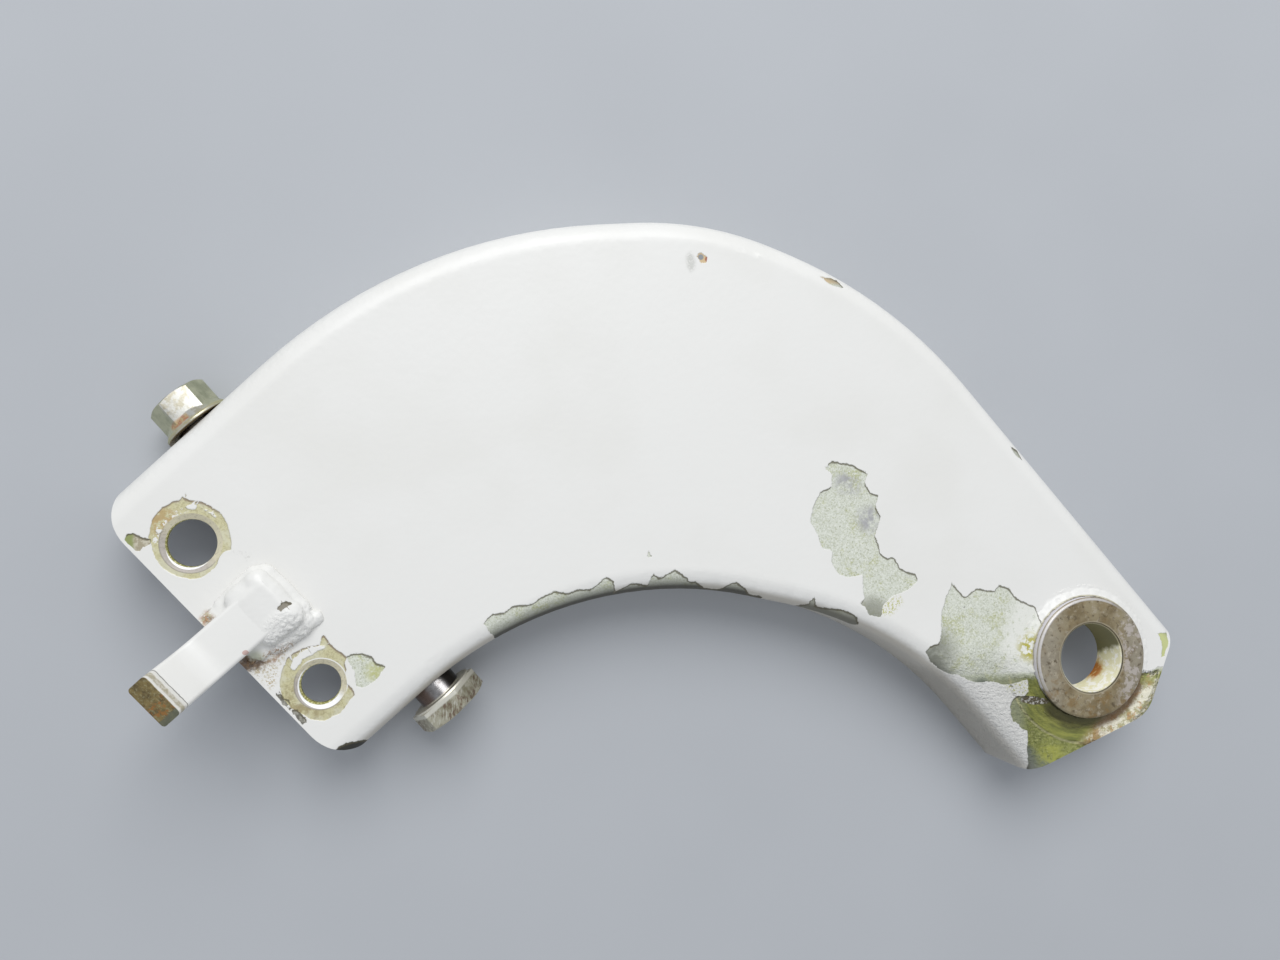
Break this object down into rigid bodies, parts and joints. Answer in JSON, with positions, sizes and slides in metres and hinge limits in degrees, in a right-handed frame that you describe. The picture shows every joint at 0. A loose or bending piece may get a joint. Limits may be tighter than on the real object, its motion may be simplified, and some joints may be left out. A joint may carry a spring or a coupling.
{
  "type": "shimmy damper arm",
  "caption": "Boomerang-shaped arm folded from sheet steel as a channel, with a welded damper bushing, a welded stop strap, mounting holes and a cross bolt with its nut.",
  "frame": {"origin": "on the damper bore's axis, at the arm's outer face", "axes": "+Z out of the outer face along the damper bore, the arm reaching along -X to the heel with its hollow side towards -Y"},
  "size_m": [0.2394, 0.1258, 0.0354],
  "materials": {
    "painted_arm": "white paint, chipped down to grey-green primer and bare steel",
    "painted_weld": "paint and primer over weld metal, rust in the hollows",
    "bushing_steel": "brown-grey oxidised turned steel",
    "plated_bolt": "worn khaki cadmium plate",
    "plated_nut": "worn greenish cadmium plate with rust"
  },
  "bodies": {
    "root": {"arm_channel": "painted_arm", "damper_bushing": "bushing_steel", "bushing_front_bead": "painted_weld", "bushing_rear_bead": "painted_weld", "stop_strap": "painted_arm", "stop_strap_bead": "painted_weld", "cross_bolt": "plated_bolt", "lock_nut": "plated_nut"}
  },
  "joints": []
}
